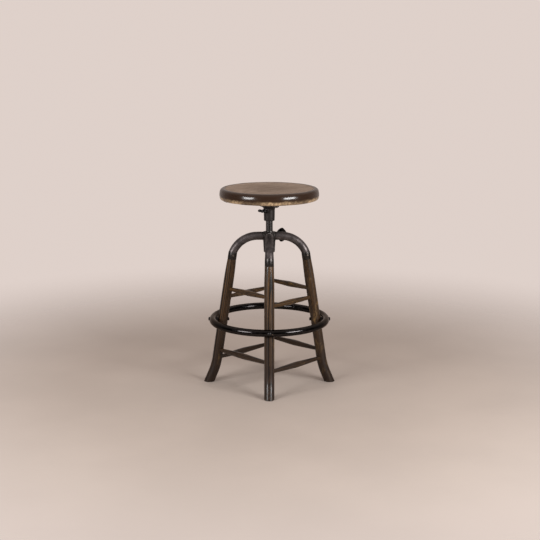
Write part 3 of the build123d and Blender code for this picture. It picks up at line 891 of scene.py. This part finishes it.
@dataclass
class SeatGroup:
    """The seat board, its casting, the wing screw and what lies between them."""

    finishes: Finishes
    board_radius: float = 0.1758
    board_foot: float = 0.6695
    widest_height: float = 0.0165
    crown_radius: float = 0.050
    foot_round: float = 0.008
    rim_round: float = 0.0120
    rim_lean: float = 16.3
    dish_depth: float = 0.0080
    dish_rings: int = 14
    foot_rings: tuple[float, float] = (0.020, 0.090)
    board_vertices: int = 144
    board_waver: float = 0.0009
    board_wave: float = 0.0450
    grain_turn: Point = (0.0, 86.5, 24.0)
    pith: Point = (0.022, 0.012, 0.0)
    rim_band: Band = (0.151, 0.163)
    rim_colour: Colour = (0.030, 0.013, 0.006)
    # Painted weaker sheen: the middle of the dish, a little behind, is darkened where its top shows less
    # sheen.
    weak_sheen_band: Band = (0.030, 0.120)
    weak_sheen_behind: float = 0.035
    weak_sheen_colour: Colour = (0.11, 0.078, 0.058)
    rubbed_band: Band = (0.006, 0.017)
    rubbed_colour: Colour = (0.56, 0.385, 0.225)
    # Painted shade on the underside and the lower round of the edge, which lie in the seat's own shadow.
    underside_shade_band: Band = (0.001, 0.007)
    underside_shade_colour: Colour = (0.10, 0.064, 0.042)
    raggedness: float = 0.016
    mouth_height: float = 0.5921
    bore_depth: float = 0.0600
    hole_end: float = 0.0320
    hole_clearance: float = 0.00005
    casting_voxel: float = 0.0010
    casting_passes: int = 6
    casting_waver: float = 0.0004
    wing_azimuth: float = 234.5
    wing_height: float = 0.6311
    head_start: float = 0.0295
    head_length: float = 0.0170
    head_radius: float = 0.0060
    shank_radius: float = 0.0040
    tip_radius: float = 0.0028
    tip_start: float = 0.0117
    tip_length: float = 0.0050
    wing_span: float = 0.0410
    wing_face_reach: float = 0.0040
    wing_face_lean: float = 14.0
    # Shares of the head's radius and length.
    head_outline: tuple[Ring, ...] = ((0.85, 0.0), (1.0, 0.12), (1.0, 0.26), (1.0, 0.90), (0.8, 1.0))
    wing_middle: float = 0.58
    # Each step's share of the wing's reach, and how thick and wide it grows.
    wing_steps: tuple[Point, ...] = (
        (0.05, 1.80, 0.95),
        (0.42, 1.40, 1.06),
        (0.33, 0.76, 0.82),
        (0.20, 0.42, 0.50),
    )

    def build(self) -> None:
        """Models and dresses the group."""
        self._board()
        self._bracket()
        self._wing_screw()
        for node in ("seat_screws", "thrust_washer"):
            self.finishes.dress_node(node)

    def _arc(self, centre: Ring, radius: float, start: float, end: float, steps: int) -> list[Ring]:
        """The rings along a round of the board's outline.

        Args:
            centre: The round's middle, as a radius and a height over the board's foot.
            radius: The round's radius.
            start: Its first angle, from level outwards.
            end: Its last angle.
            steps: How many stretches it has.

        Returns:
            The radius and height over the floor of each ring.
        """
        angles = [start + (end - start) * step / steps for step in range(steps + 1)]
        foot = self.board_foot + centre[1]
        return [(centre[0] + radius * cosd(angle), foot + radius * sind(angle)) for angle in angles]

    def _round_middle(self, radius: float, lean: float) -> Ring:
        """The middle of a round that meets the crowned edge at a lean.

        Args:
            radius: The round's radius.
            lean: The angle over level at which they meet.

        Returns:
            Its radius and height over the board's foot.
        """
        inner = self.crown_radius - radius
        wide = self.board_radius - self.crown_radius + inner * cosd(lean)
        return wide, self.widest_height + inner * sind(lean)

    def _board_outline(self) -> list[Ring]:
        """The rings of the board from the middle of its foot, round the edge, to the dish.

        Returns:
            The radius and height over the floor of each ring.
        """
        drop = self.widest_height - self.foot_round
        foot_lean = -math.degrees(math.asin(drop / (self.crown_radius - self.foot_round)))
        crown = (self.board_radius - self.crown_radius, self.widest_height)
        foot_middle = self._round_middle(self.foot_round, foot_lean)
        rim_middle = self._round_middle(self.rim_round, self.rim_lean)
        rings = [(radius, self.board_foot) for radius in self.foot_rings]
        rings += self._arc(foot_middle, self.foot_round, -90.0, foot_lean, 7)
        rings += self._arc(crown, self.crown_radius, foot_lean, self.rim_lean, 8)[1:]
        rings += self._arc(rim_middle, self.rim_round, self.rim_lean, 95.0, 10)[1:]
        crest_radius, crest = rings[-1]
        for step in range(1, self.dish_rings):
            share = 1.0 - step / self.dish_rings
            rings.append((share * crest_radius, crest - self.dish_depth * (1.0 - share * share)))
        return rings

    def _board(self) -> None:
        """Turns the board as a lathe does, then lets its surface waver a little."""
        board = Shaper.lathe(self._board_outline(), self.board_vertices)
        board.waver(self.board_waver, self.board_wave)
        middle = (0.0, 0.0, self.board_foot)
        wood = self.finishes.seat_wood.material("", middle, self.grain_turn, self.pith, self._edge_stain_and_shade)
        board.deliver("seat_board_turned", "seat_board", Body.SEAT, Slot.SEAT_WOOD, wood)

    def _edge_stain_and_shade(self, bench: NodeBench, colour: Socket) -> tuple[Socket, Value]:
        """Darkens the rim, darkens the middle of the dish as a painted weaker sheen, paints shade on the
        underside and the lower round of the edge, and rubs the lower edge golden.

        Args:
            bench: The material's bench.
            colour: The wood's colour so far.

        Returns:
            The socket with the new colour, and the varnish that stays, which is the rim's.
        """
        place = bench.place()
        ragged = bench.maths("SUBTRACT", bench.noise(place, 55.0, 5.0, 0.6), 0.5)
        ragged = bench.times(ragged, self.raggedness)
        rim = bench.ramp(bench.plus(bench.from_axis(place), ragged), *self.rim_band)
        # Painted weaker sheen: the middle of the dish, a little behind, is darkened.
        behind = bench.from_axis(bench.shift(place, (0.0, -self.weak_sheen_behind, 0.0)))
        weak_sheen = bench.ramp(bench.plus(behind, ragged), *self.weak_sheen_band, 0.36, 0.0)
        colour = bench.blend(weak_sheen, colour, self.weak_sheen_colour)
        colour = bench.blend(rim, colour, self.rim_colour)
        over_foot = bench.plus(bench.height(place), -self.board_foot)
        level = bench.plus(over_foot, bench.times(ragged, 0.8))
        # Painted shade: the underside and the lower round of the edge are darkened as in the seat's shadow.
        under = bench.ramp(level, *self.underside_shade_band, 0.62, 0.0)
        colour = bench.blend(under, colour, self.underside_shade_colour)
        low = bench.ramp(level, *self.rubbed_band, 1.0, 0.0)
        patches = bench.ramp(bench.noise(place, 14.0, 4.0, 0.6), 0.38, 0.60, 0.22, 1.0)
        speckles = bench.ramp(bench.noise(place, 150.0, 5.0, 0.7), 0.42, 0.62, 1.0, 0.32)
        rubbed = bench.times(bench.times(low, rim), bench.times(patches, speckles))
        return bench.blend(rubbed, colour, self.rubbed_colour), bench.ramp(rim, 0.10, 1.0)

    def _bracket(self) -> None:
        """Models the casting under the seat."""
        bracket = Casting(
            "seat_bracket",
            foot=self.mouth_height,
            top=self.mouth_height + self.bore_depth,
            hole_azimuth=self.wing_azimuth,
            hole_height=self.wing_height,
            hole_radius=self.shank_radius + self.hole_clearance,
            hole_end=self.hole_end,
            voxel=self.casting_voxel,
            passes=self.casting_passes,
            waver=self.casting_waver,
        ).model()
        iron = self.finishes.by_slot[Slot.CAST_IRON]
        bracket.deliver("seat_bracket_cast", "seat_bracket", Body.SEAT, Slot.CAST_IRON, iron)

    def _wing_screw(self) -> None:
        """Models the wing screw: a round head, two thumb wings drawn out of it, and the shank."""
        length = self.head_length
        outline = [(self.head_radius * wide, length * high) for wide, high in self.head_outline]
        screw = Shaper.lathe(outline, 16)
        for side in (1.0, -1.0):
            self._draw_wing(screw, side)
        screw.apply("SUBSURF", levels=2, render_levels=2)
        tip = self.tip_start - self.head_start
        shank = [
            (self.tip_radius, tip),
            (self.tip_radius, tip + self.tip_length),
            (self.shank_radius, tip + 1.2 * self.tip_length),
            (self.shank_radius, 0.3 * length),
        ]
        screw.combine(Shaper.lathe(shank, 48), "UNION")
        out = outwards(self.wing_azimuth)
        screw.settle(self.wing_height * UPWARDS + self.head_start * out, out)
        iron = self.finishes.by_slot[Slot.BLACK_IRON]
        screw.deliver("wing_screw_forged", "wing_screw", Body.WING, Slot.BLACK_IRON, iron)

    def _draw_wing(self, screw: Shaper, side: float) -> None:
        """Extrudes one wing from the side faces of the head.

        Args:
            screw: The wing screw, upright round the Z axis.
            side: 1 for the wing along X, -1 for the other.
        """
        middle = self.wing_middle * self.head_length
        straight = cosd(self.wing_face_lean)
        reach = self.wing_span / 2 - self.head_radius
        across = side * self.head_radius
        band = self.wing_face_reach
        screw.pick(Pick.FACES, lambda place, out: side * out.x > straight and abs(place.z - middle) < band)
        for share, thick, wide in self.wing_steps:
            step = side * share * reach
            across += step
            bpy.ops.mesh.extrude_region_move(TRANSFORM_OT_translate={"value": (step, 0.0, 0.0)})
            bpy.ops.transform.resize(value=(1.0, thick, wide), center_override=(across, 0.0, middle))


@dataclass
class HubGroup:
    """The hub casting, the post that slides in it, and the clamp."""

    finishes: Finishes
    top: float = 0.5530
    foot: float = 0.4788
    clamp_azimuth: float = 45.0
    clamp_height: float = 0.5336
    clamp_hole_radius: float = 0.00505
    clamp_hole_end: float = 0.0380
    casting_voxel: float = 0.0013
    casting_passes: int = 9
    casting_waver: float = 0.0006
    knob_reach: float = 0.0460
    neck_length: float = 0.0100
    neck_radius: float = 0.0095
    knob_thickness: float = 0.0140
    knob_radius: float = 0.0268
    knob_valley: float = 0.0222
    knob_corners: int = 24
    face_border: float = 0.0022
    face_round: float = 0.0050
    face_rise: float = 0.0005
    # Shares of the knob's radius and thickness, and of the neck's radius and length.
    rim_outline: tuple[Ring, ...] = ((0.93, 0.0), (1.0, 0.22), (1.0, 0.78), (0.93, 1.0))
    neck_outline: tuple[Ring, ...] = ((0.9, 0.0), (1.0, 0.12), (1.0, 0.9), (1.15, 1.0), (1.15, 1.3))
    # Angles from a lobe's middle, and the share of the radius that the rim keeps there.
    lobe_sides: tuple[tuple[float, float], ...] = ((15.0, 0.855), (30.0, 0.815))
    half_gap: float = 45.0

    def build(self) -> None:
        """Models and dresses the group."""
        self._spider()
        self._knob()
        for node in ("seat_post", "stop_collar", "stop_pin", "clamp_screw", "clamp_pad"):
            self.finishes.dress_node(node)

    def _spider(self) -> None:
        """Models the hub casting."""
        hub = Casting(
            "hub_spider",
            foot=self.foot,
            top=self.top,
            hole_azimuth=self.clamp_azimuth,
            hole_height=self.clamp_height,
            hole_radius=self.clamp_hole_radius,
            hole_end=self.clamp_hole_end,
            voxel=self.casting_voxel,
            passes=self.casting_passes,
            waver=self.casting_waver,
            open_top=True,
        ).model()
        iron = self.finishes.by_slot[Slot.CAST_IRON]
        hub.deliver("hub_cast", "hub_spider", Body.FRAME, Slot.CAST_IRON, iron)

    def _knob(self) -> None:
        """Models the star knob: a disc whose rim is pressed in between four lobes, and a neck."""
        radius, deep = self.knob_radius, self.knob_thickness
        outline = [(wide * radius, high * deep) for wide, high in self.rim_outline]
        knob = Shaper.lathe(outline, self.knob_corners)
        nearly = 120.0 / self.knob_corners
        for angle, share in (*self.lobe_sides, (self.half_gap, self.knob_valley / radius)):
            knob.pick(Pick.CORNERS, lambda place, out: abs(self._from_lobe(place) - angle) < nearly)
            bpy.ops.transform.resize(value=(share, share, 1.0), center_override=CENTRE)
        for way in (1.0, -1.0):
            knob.pick(Pick.FACES, lambda place, out: way * out.z > 0.9)
            bpy.ops.mesh.inset(thickness=self.face_border, depth=0.0)
            bpy.ops.mesh.inset(thickness=self.face_round, depth=self.face_rise)
        knob.apply("SUBSURF", levels=2, render_levels=2)
        length = self.neck_length
        neck = [(self.neck_radius * wide, length * (high - 1.0)) for wide, high in self.neck_outline]
        knob.combine(Shaper.lathe(neck, 64), "UNION")
        out = outwards(self.clamp_azimuth)
        knob.settle(self.clamp_height * UPWARDS + (self.knob_reach + length) * out, out)
        iron = self.finishes.by_slot[Slot.BLACK_IRON]
        knob.deliver("clamp_knob_star", "clamp_knob", Body.CLAMP, Slot.BLACK_IRON, iron)

    @staticmethod
    def _from_lobe(place: Vector) -> float:
        """The angle between a corner of the upright knob and the nearest lobe."""
        turn = math.degrees(math.atan2(place.y, place.x)) % 90.0
        return min(turn, 90.0 - turn)


@dataclass
class LegGroup:
    """The four legs with their ferrules, and the eight rungs."""

    finishes: Finishes
    splay: float = 8.62
    top_radius: float = 0.1303
    top_height: float = 0.4746
    ferrule_radius: float = 0.0156
    ferrule_bore: float = 0.0140
    ferrule_height: float = 0.0212
    foot_edge: Ring = (0.0004, 0.0006)
    lip_bore: float = 0.0149
    lip_start: float = 0.0020
    lip_height: float = 0.0055
    # Shares of the ferrule's radius and of the lip's height.
    lip_outline: tuple[Ring, ...] = ((0.9860, 0.35), (0.9720, 0.75), (0.9600, 1.0))
    overrun: float = 0.0002
    cut_length: float = 0.0300
    pin_from_top: float = 0.0110
    pin_radius: float = 0.00205
    pith_beside: tuple[float, float] = (0.05, 0.02)
    leg_pith_step: float = 0.013
    rung_pith_step: float = 0.0017
    upper_pith_step: float = 0.4
    low_dark_colour: Colour = (0.012, 0.006, 0.004)
    low_dark_band: Band = (0.10, 0.46)
    darkening_share: float = 0.76
    dull_band: Band = (0.06, 0.20)
    dull_varnish: float = 0.25
    raggedness: float = 0.12

    def build(self) -> None:
        """Models the ferrules and dresses the rest of the group."""
        self._ferrules()
        self.finishes.dress_node("ferrule_pins")
        for name, azimuth in LEGS.items():
            self._leg(name, azimuth)
        for level in ("upper", "lower"):
            for side, azimuth in SIDES.items():
                self._rung(level + "_" + side, azimuth)

    def _leg(self, name: str, azimuth: float) -> None:
        """Runs a leg's grain along its own splayed axis and gives it its own wear.

        Args:
            name: The leg's name in LEGS.
            azimuth: Where it stands.
        """
        centre = tuple(self.top_radius * outwards(azimuth) + self.top_height * UPWARDS)
        pith = (*self.pith_beside, self.leg_pith_step * (azimuth + 90.0))
        varnish, cover = LEG_WEAR[name]
        finish = replace(self.finishes.leg_wood, varnish=varnish, wear_cover=cover)
        wood = finish.material("_" + name, centre, (0.0, -self.splay, azimuth), pith, self._darken_low)
        self.finishes.dress_node("leg_" + name, wood)

    def _darken_low(self, bench: NodeBench, colour: Socket) -> tuple[Socket, Value]:
        """Darkens a leg or rung towards the floor.

        Args:
            bench: The material's bench.
            colour: The wood's colour so far.

        Returns:
            The socket with the new colour, and the share of varnish that stays.
        """
        place = bench.place()
        ragged = bench.times(bench.noise(place, 30.0, 4.0, 0.6), self.raggedness)
        level = bench.plus(bench.height(place), ragged)
        low = bench.ramp(level, *self.low_dark_band, self.darkening_share, 0.0)
        kept = bench.ramp(level, *self.dull_band, self.dull_varnish)
        return bench.blend(low, colour, self.low_dark_colour), kept

    def _ferrules(self) -> None:
        """Turns a ferrule for every leg and joins the four."""
        joined, *others = [self._ferrule(outwards(azimuth)) for azimuth in LEGS.values()]
        for other in others:
            joined.join(other)
        iron = self.finishes.ferrule_material
        joined.deliver("ferrules_lipped", "leg_ferrules", Body.FRAME, Slot.BLACK_ENAMEL, iron)

    def _ferrule(self, level: Vector) -> Shaper:
        """Turns one ferrule with a lip over the arm's end and a hole for its pin.

        Args:
            level: The level direction of its leg.

        Returns:
            The shaper of the ferrule.
        """
        radius = self.ferrule_radius
        edge, edge_height = self.foot_edge
        outline = [
            (radius - edge, -self.ferrule_height),
            (radius, edge_height - self.ferrule_height),
            (radius, -self.lip_start),
        ]
        outline += [(wide * radius, high * self.lip_height) for wide, high in self.lip_outline]
        below, above = -self.cut_length * UPWARDS, self.cut_length * UPWARDS
        ferrule = Shaper.lathe(outline, 64)
        ferrule.combine(Shaper.rod(self.ferrule_bore, below, self.overrun * UPWARDS, 64), "DIFFERENCE")
        ferrule.combine(Shaper.rod(self.lip_bore, CENTRE, above, 64), "DIFFERENCE")
        upright = cosd(self.splay) * UPWARDS - sind(self.splay) * level
        top = self.top_radius * level + self.top_height * UPWARDS
        ferrule.settle(top, upright)
        inner = top - self.pin_from_top * upright
        across = cosd(self.splay) * level + sind(self.splay) * UPWARDS
        pin = Shaper.rod(self.pin_radius, inner - self.cut_length * across, inner, 32)
        ferrule.combine(pin, "DIFFERENCE")
        return ferrule

    def _rung(self, name: str, azimuth: float) -> None:
        """Runs a rung's grain along its own length.

        Args:
            name: The rung's level and side.
            azimuth: Where it stands.
        """
        low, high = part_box("rung_" + name)
        centre = tuple((Vector(low) + Vector(high)) / 2)
        along = self.rung_pith_step * azimuth + (self.upper_pith_step if name.startswith("upper") else 0.0)
        pith = (*self.pith_beside, along)
        turn = (0.0, 90.0, azimuth + 90.0)
        wood = self.finishes.rung_wood.material("_" + name, centre, turn, pith, self._darken_low)
        self.finishes.dress_node("rung_" + name, wood)


@dataclass
class RingGroup:
    """The foot ring with its spacers, bolts, washers and nuts."""

    finishes: Finishes
    nodes: tuple[str, ...] = ("foot_ring", "ring_spacers", "ring_bolts", "ring_washers", "ring_nuts")

    def build(self) -> None:
        """Dresses the group."""
        for node in self.nodes:
            self.finishes.dress_node(node)


@dataclass
class Studio:
    """Floor, lamps, backdrop and camera."""

    lens: float = 76.1
    sensor: float = 36.0
    camera_place: Point = (0.0025, -3.9959, 1.2494)
    camera_tilt: float = 11.82
    floor_radius: float = 2.2
    floor_colour: Colour = (0.50, 0.425, 0.372)
    floor_shade: float = 0.93
    fade_start: float = 0.25
    backdrop: Colour = (0.735, 0.635, 0.590)
    room_light: float = 0.05
    wall_light: float = 0.52
    overhead_light: float = 0.75
    mirrored_light: float = 0.80
    lamp_distance: float = 2.7
    lamp_azimuth: float = 47.0
    lamp_height: float = 1.16
    lamp_width: float = 1.2
    lamp_depth: float = 0.55
    lamp_power: float = 56.0
    lamp_balance: float = 0.14
    target_height: float = 0.45

    def build(self) -> None:
        """Sets up everything round the stool."""
        self._camera()
        self._floor()
        self._world()
        for side in (-1.0, 1.0):
            self._lamp(side)
        bpy.context.scene.view_settings.view_transform = "Standard"

    def _camera(self) -> None:
        """Stands the camera where the photograph was taken."""
        data = bpy.data.cameras.new("camera")
        data.lens = self.lens
        data.sensor_width = self.sensor
        data.dof.use_dof = False
        camera = bpy.data.objects.new("camera", data)
        camera.location = self.camera_place
        camera.rotation_euler = (math.radians(90.0 - self.camera_tilt), 0.0, 0.0)
        bpy.context.scene.collection.objects.link(camera)
        bpy.context.scene.camera = camera

    def _floor(self) -> None:
        """Lays a round pale floor that fades into the backdrop."""
        Shaper.clear()
        bpy.ops.mesh.primitive_circle_add(vertices=96, radius=self.floor_radius, fill_type="NGON")
        floor = bpy.context.active_object
        floor.name = "floor"
        material = bpy.data.materials.new("pale_floor")
        bench = NodeBench.cleared(material)
        place = bench.place()
        tone = bench.ramp(bench.noise(place, 2.2, 4.0), 0.3, 0.7)
        colour = bench.blend(tone, shade(self.floor_colour, self.floor_shade), self.floor_colour)
        start = self.fade_start * self.floor_radius
        fade = bench.ramp(bench.from_axis(place), start, self.floor_radius, 1.0, 0.0)
        inputs = {"Base Color": colour, "Roughness": 0.75, "Alpha": fade}
        shader = bench.add("ShaderNodeBsdfPrincipled", inputs)
        bench.add("ShaderNodeOutputMaterial", {"Surface": shader.outputs[0]})
        floor.data.materials.append(material)

    def _world(self) -> None:
        """Puts a pale wall behind the stool and a dim room in front; the camera sees wall all round."""
        world = bpy.data.worlds.new("studio_world")
        bpy.context.scene.world = world
        bench = NodeBench.cleared(world)
        direction = bench.add("ShaderNodeTexCoord").outputs["Generated"]
        parts = bench.add("ShaderNodeSeparateXYZ", {0: direction}).outputs
        wall = bench.ramp(parts["Y"], -0.2, 0.8, self.room_light, self.wall_light)
        wall = bench.plus(wall, bench.ramp(parts["Z"], 0.30, 1.0, 0.0, self.overhead_light))
        rays = bench.add("ShaderNodeLightPath").outputs
        mirrored = bench.ramp(parts["Y"], 0.1, 0.95, 0.0, self.mirrored_light)
        wall = bench.maths("MAXIMUM", wall, bench.times(rays["Is Glossy Ray"], mirrored))
        clear = bench.maths("MAXIMUM", rays["Is Camera Ray"], rays["Is Transmission Ray"])
        strength = bench.maths("MAXIMUM", wall, clear)
        light = bench.add("ShaderNodeBackground", {"Color": (*self.backdrop, 1.0), "Strength": strength})
        bench.add("ShaderNodeOutputWorld", {"Surface": light.outputs[0]})

    def _lamp(self, side: float) -> None:
        """Hangs one wide softbox, the right one a little stronger.

        Args:
            side: 1 for the lamp to the right of the camera, -1 for the one to the left.
        """
        data = bpy.data.lights.new("softbox", "AREA")
        data.shape = "RECTANGLE"
        data.size = self.lamp_width
        data.size_y = self.lamp_depth
        data.energy = self.lamp_power * (1.0 + side * self.lamp_balance)
        lamp = bpy.data.objects.new("softbox", data)
        level = self.lamp_distance * outwards(side * self.lamp_azimuth - 90.0)
        lamp.location = level + self.lamp_height * UPWARDS
        aim = self.target_height * UPWARDS - lamp.location
        lamp.rotation_euler = aim.to_track_quat("-Z", "Y").to_euler()
        bpy.context.scene.collection.objects.link(lamp)


def main() -> None:
    """Builds the sub-assemblies in order and reports each."""
    logging.basicConfig(level=logging.INFO, format="%(message)s")
    finishes = Finishes()
    for group in (SeatGroup(finishes), HubGroup(finishes), LegGroup(finishes), RingGroup(finishes)):
        group.build()
        log.info("finished %s", type(group).__name__)
    Studio().build()


if __name__ == "__main__":
    main()
